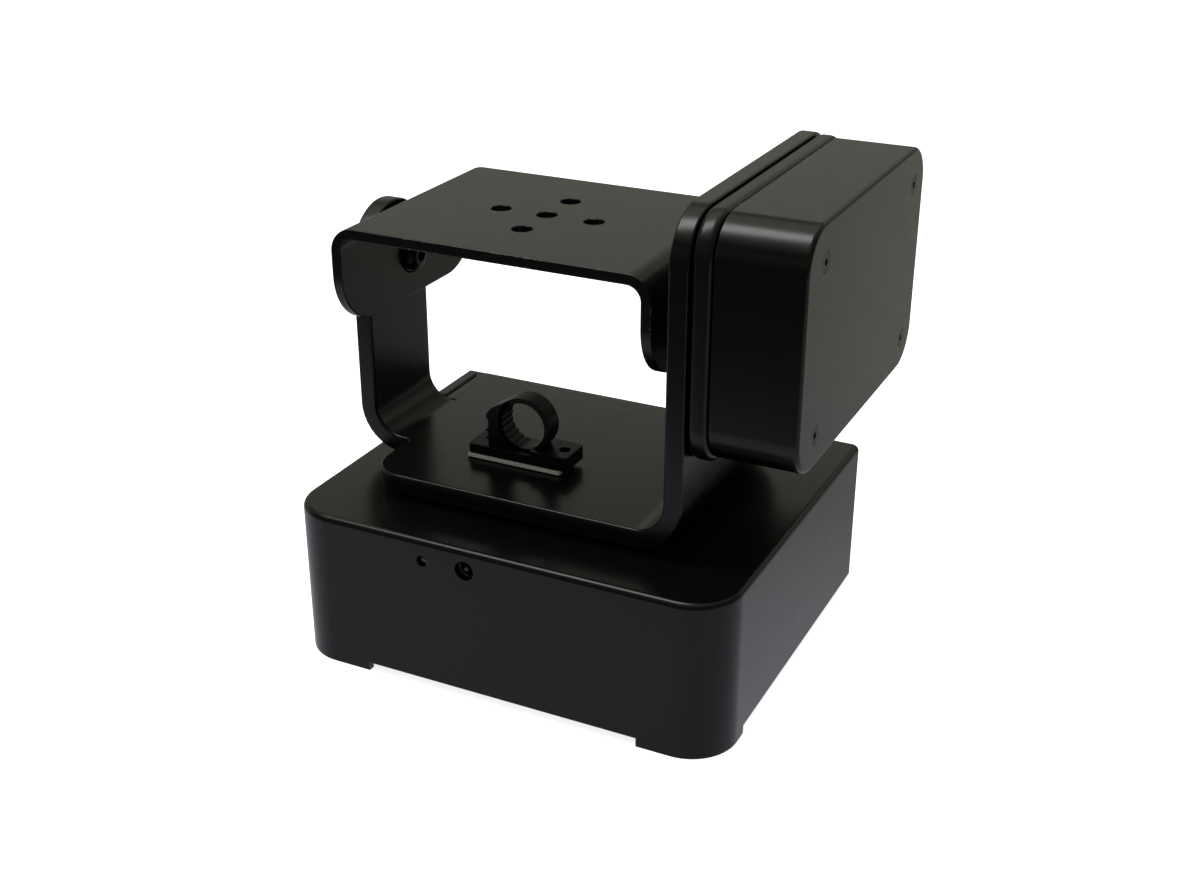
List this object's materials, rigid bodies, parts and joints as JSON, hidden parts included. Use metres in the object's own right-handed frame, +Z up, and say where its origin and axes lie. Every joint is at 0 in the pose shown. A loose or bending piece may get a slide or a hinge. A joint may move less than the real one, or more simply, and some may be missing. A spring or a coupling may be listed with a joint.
{
  "type": "remote pan tilt head",
  "caption": "Motorised pan and tilt head: box base, turning bent yoke with a tilt drive on its tall arm, and a tilting camera platform with a cross of holes.",
  "frame": {"origin": "middle of the space the part fills, at the level of the table; the middle of the base lies 5.55 mm to -X and 4.75 mm to -Y of it", "axes": "+Z up, +Y to the back of the base (the power inlet is on -Y), +X towards the tall arm with the tilt drive; the tilt axis lies along X"},
  "size_m": [0.1616, 0.1366, 0.1596],
  "materials": {
    "satin_coat": "satin black powder coat",
    "dark_coat": "satin black coat",
    "black_screw": "black oxide",
    "turned_steel": "turned",
    "gear_bronze": "machined bronze",
    "zinc": "zinc plated",
    "black_nylon": "moulded nylon",
    "grey_foam": "closed cell foam",
    "rubber_feet": "moulded rubber",
    "black_plastic": "moulded",
    "circuit_board": "solder mask"
  },
  "bodies": {
    "base": {"base_housing": "satin_coat", "bottom_plate": "dark_coat", "bottom_screw_1": "black_screw", "bottom_screw_2": "black_screw", "bottom_screw_3": "black_screw", "bottom_screw_4": "black_screw", "rear_foot_left": "rubber_feet", "rear_foot_right": "rubber_feet", "power_inlet": "black_plastic", "inlet_pin": "zinc", "indicator_lens": "black_plastic", "pan_bearing": "turned_steel", "pan_motor": "zinc", "pan_motor_bracket": "zinc", "bracket_screw_1": "zinc", "bracket_screw_2": "zinc", "bracket_screw_3": "zinc", "bracket_screw_4": "zinc", "control_board": "circuit_board", "board_screw_1": "zinc", "board_screw_2": "zinc"},
    "pan_yoke": {"yoke": "satin_coat", "pan_shaft": "turned_steel", "pan_sleeve": "turned_steel", "pan_gear": "gear_bronze", "pan_nut": "turned_steel", "hub_screw_1": "black_screw", "hub_screw_2": "black_screw", "hub_screw_3": "black_screw", "hub_screw_4": "black_screw", "foam_pad": "grey_foam", "cable_clip": "black_nylon", "drive_plate": "dark_coat", "drive_mount_screw_1": "black_screw", "drive_mount_screw_2": "black_screw", "drive_mount_screw_3": "black_screw", "drive_mount_screw_4": "black_screw", "drive_cover": "satin_coat", "cover_screw_1": "black_screw", "cover_screw_2": "black_screw", "cover_screw_3": "black_screw", "cover_screw_4": "black_screw", "tilt_bush": "gear_bronze", "tilt_gearmotor": "zinc", "gearmotor_screw_1": "zinc", "gearmotor_screw_2": "zinc", "pivot_bolt": "black_screw"},
    "tilt_platform": {"camera_platform": "satin_coat", "pivot_bush": "black_nylon", "tilt_shaft": "turned_steel", "shaft_screw_1": "black_screw", "shaft_screw_2": "black_screw", "shaft_screw_3": "black_screw", "shaft_screw_4": "black_screw", "tilt_gear": "gear_bronze", "tilt_nut": "turned_steel"},
    "pan_pinion": {"pan_pinion": "gear_bronze"},
    "tilt_pinion": {"tilt_pinion": "gear_bronze"}
  },
  "joints": [
    {"name": "pan", "type": "hinge", "parent": "base", "child": "pan_yoke", "pos_m": [-0.01755, -0.00475, 0.054], "axis": [0, 0, 1], "range_deg": [-170, 170]},
    {"name": "tilt", "type": "hinge", "parent": "pan_yoke", "child": "tilt_platform", "pos_m": [-0.00555, -0.00475, 0.12], "axis": [1, 0, 0], "range_deg": [-60, 60]},
    {"name": "pan_pinion_spin", "type": "hinge", "parent": "base", "child": "pan_pinion", "pos_m": [0.02745, -0.00475, 0.015], "axis": [0, 0, 1], "range_deg": [-681, 681]},
    {"name": "tilt_pinion_spin", "type": "hinge", "parent": "pan_yoke", "child": "tilt_pinion", "pos_m": [0.05845, 0.02597, 0.09849], "axis": [1, 0, 0], "range_deg": [-191, 191]}
  ],
  "couplings": [
    {"joint": "pan_pinion_spin", "follows": "pan", "ratio": -4},
    {"joint": "tilt_pinion_spin", "follows": "tilt", "ratio": -3.1667}
  ]
}
